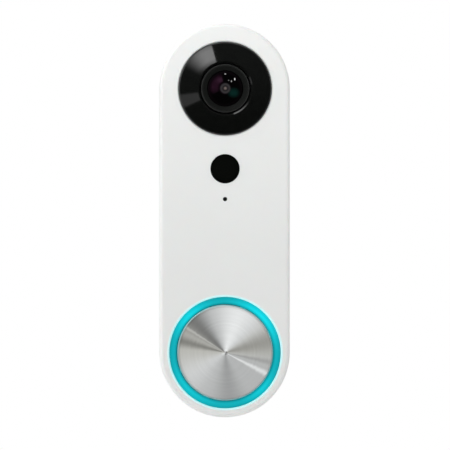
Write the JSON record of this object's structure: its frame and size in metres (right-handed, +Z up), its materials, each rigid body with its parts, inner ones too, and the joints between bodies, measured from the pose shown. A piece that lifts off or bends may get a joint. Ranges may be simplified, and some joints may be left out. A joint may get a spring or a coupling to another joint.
{
  "type": "video doorbell",
  "caption": "Slim upright wired video doorbell: white stadium-shaped body, domed camera in a black window, motion sensor, and a metal push button in a lit ring.",
  "frame": {"origin": "middle of the wall bracket's back face, on the wall plane", "axes": "+Z up, +X to the viewer's right, the front faces -Y and +Y points into the wall"},
  "size_m": [0.0424, 0.0253, 0.1284],
  "materials": {
    "aluminium_can": "drawn can",
    "black_bracket": "light texture",
    "board_black": "solder mask",
    "board_green": "solder mask",
    "brass": "machined",
    "button_metal": "spun, with fine concentric lines",
    "can_metal": "nickel plated",
    "carrier_white": "moulded",
    "chip_black": "moulded",
    "cone_paper": "pressed cone",
    "connector_cream": "moulded",
    "copper_coil": "enamelled copper wire",
    "filter_glass": "interference coating",
    "foam_black": "foam",
    "housing_white": "fine satin",
    "inner_black": "moulded",
    "led_dark": "tinted epoxy",
    "led_white": "moulded",
    "lens_black": "satin anodised",
    "lens_glass": "coated",
    "motion_lens_black": "soft gloss",
    "ribbon_amber": "polyimide film",
    "ring_diffuser": "lit translucent diffuser",
    "screw_black": "black oxide",
    "screw_steel": "zinc plated",
    "shield_metal": "tinned",
    "silicone_grey": "soft",
    "white_shell": "fine satin",
    "window_black": "polished, passes infrared",
    "wire_red": "silicone insulation"
  },
  "bodies": {
    "housing": {"barrel_seal": "foam_black", "board_connector": "inner_black", "board_screws": "screw_steel", "board_sockets": "connector_cream", "button_board": "board_green", "button_board_screws": "screw_steel", "button_ribbon": "ribbon_amber", "button_seal": "silicone_grey", "camera_ribbon": "ribbon_amber", "camera_window": "window_black", "capacitors": "aluminium_can", "chassis": "inner_black", "front_lens": "lens_glass", "housing_gasket": "silicone_grey", "housing_screws": "screw_black", "image_sensor": "chip_black", "infrared_board": "board_black", "infrared_leds": "led_dark", "lens_barrel": "lens_black", "lens_holder": "inner_black", "lens_retainer": "lens_black", "lever_pivot": "screw_steel", "light_baffle": "foam_black", "light_ring": "ring_diffuser", "main_board": "board_green", "main_board_parts": "chip_black", "microphone_boot": "silicone_grey", "middle_lens": "lens_glass", "motion_lens": "motion_lens_black", "motion_sensor": "can_metal", "power_board": "board_green", "power_board_parts": "chip_black", "processor_shield": "shield_metal", "rear_housing": "housing_white", "rear_lens": "lens_glass", "ring_leds": "led_white", "security_screw": "screw_black", "sensor_board": "board_black", "speaker_cone": "cone_paper", "speaker_frame": "inner_black", "speaker_gasket": "foam_black", "speaker_magnet": "shield_metal", "speaker_wires": "wire_red", "switch_body": "inner_black", "switcher_coil": "copper_coil", "switcher_yoke": "shield_metal", "terminal_inserts": "brass", "terminal_plates": "brass", "terminal_screws": "brass", "wall_bracket": "black_bracket", "window_gasket": "silicone_grey", "wireless_antenna": "brass", "wireless_module": "shield_metal"},
    "faceplate": {"faceplate": "white_shell"},
    "button": {"button_cap": "button_metal", "button_carrier": "carrier_white"},
    "switch_plunger": {"switch_plunger": "led_white"},
    "filter_lever": {"filter_lever": "inner_black"},
    "filter_carriage": {"filter_carriage": "inner_black", "carriage_filters": "filter_glass"}
  },
  "joints": [
    {"name": "button_press", "type": "slide", "parent": "housing", "child": "button", "axis": [0, 1, 0], "range_m": [0, 0.0005], "stiffness_N_per_m": 2000, "springref_m": -0.0005, "deforming": ["button_seal"]},
    {"name": "plunger_press", "type": "slide", "parent": "housing", "child": "switch_plunger", "axis": [0, 1, 0], "range_m": [0, 0.0005]},
    {"name": "filter_lever_turn", "type": "hinge", "parent": "housing", "child": "filter_lever", "pos_m": [0, -0.0094, 0.0329], "axis": [0, -1, 0], "range_deg": [0, 60]},
    {"name": "filter_slide", "type": "slide", "parent": "housing", "child": "filter_carriage", "axis": [-1, 0, 0], "range_m": [0, 0.0062]},
    {"name": "faceplate_off", "type": "slide", "parent": "housing", "child": "faceplate", "axis": [0, -1, 0], "range_m": [0, 0.03]}
  ],
  "couplings": [
    {"joint": "plunger_press", "follows": "button_press", "ratio": 1},
    {"joint": "filter_lever_turn", "follows": "filter_slide", "rad_per_m": 168.9}
  ]
}
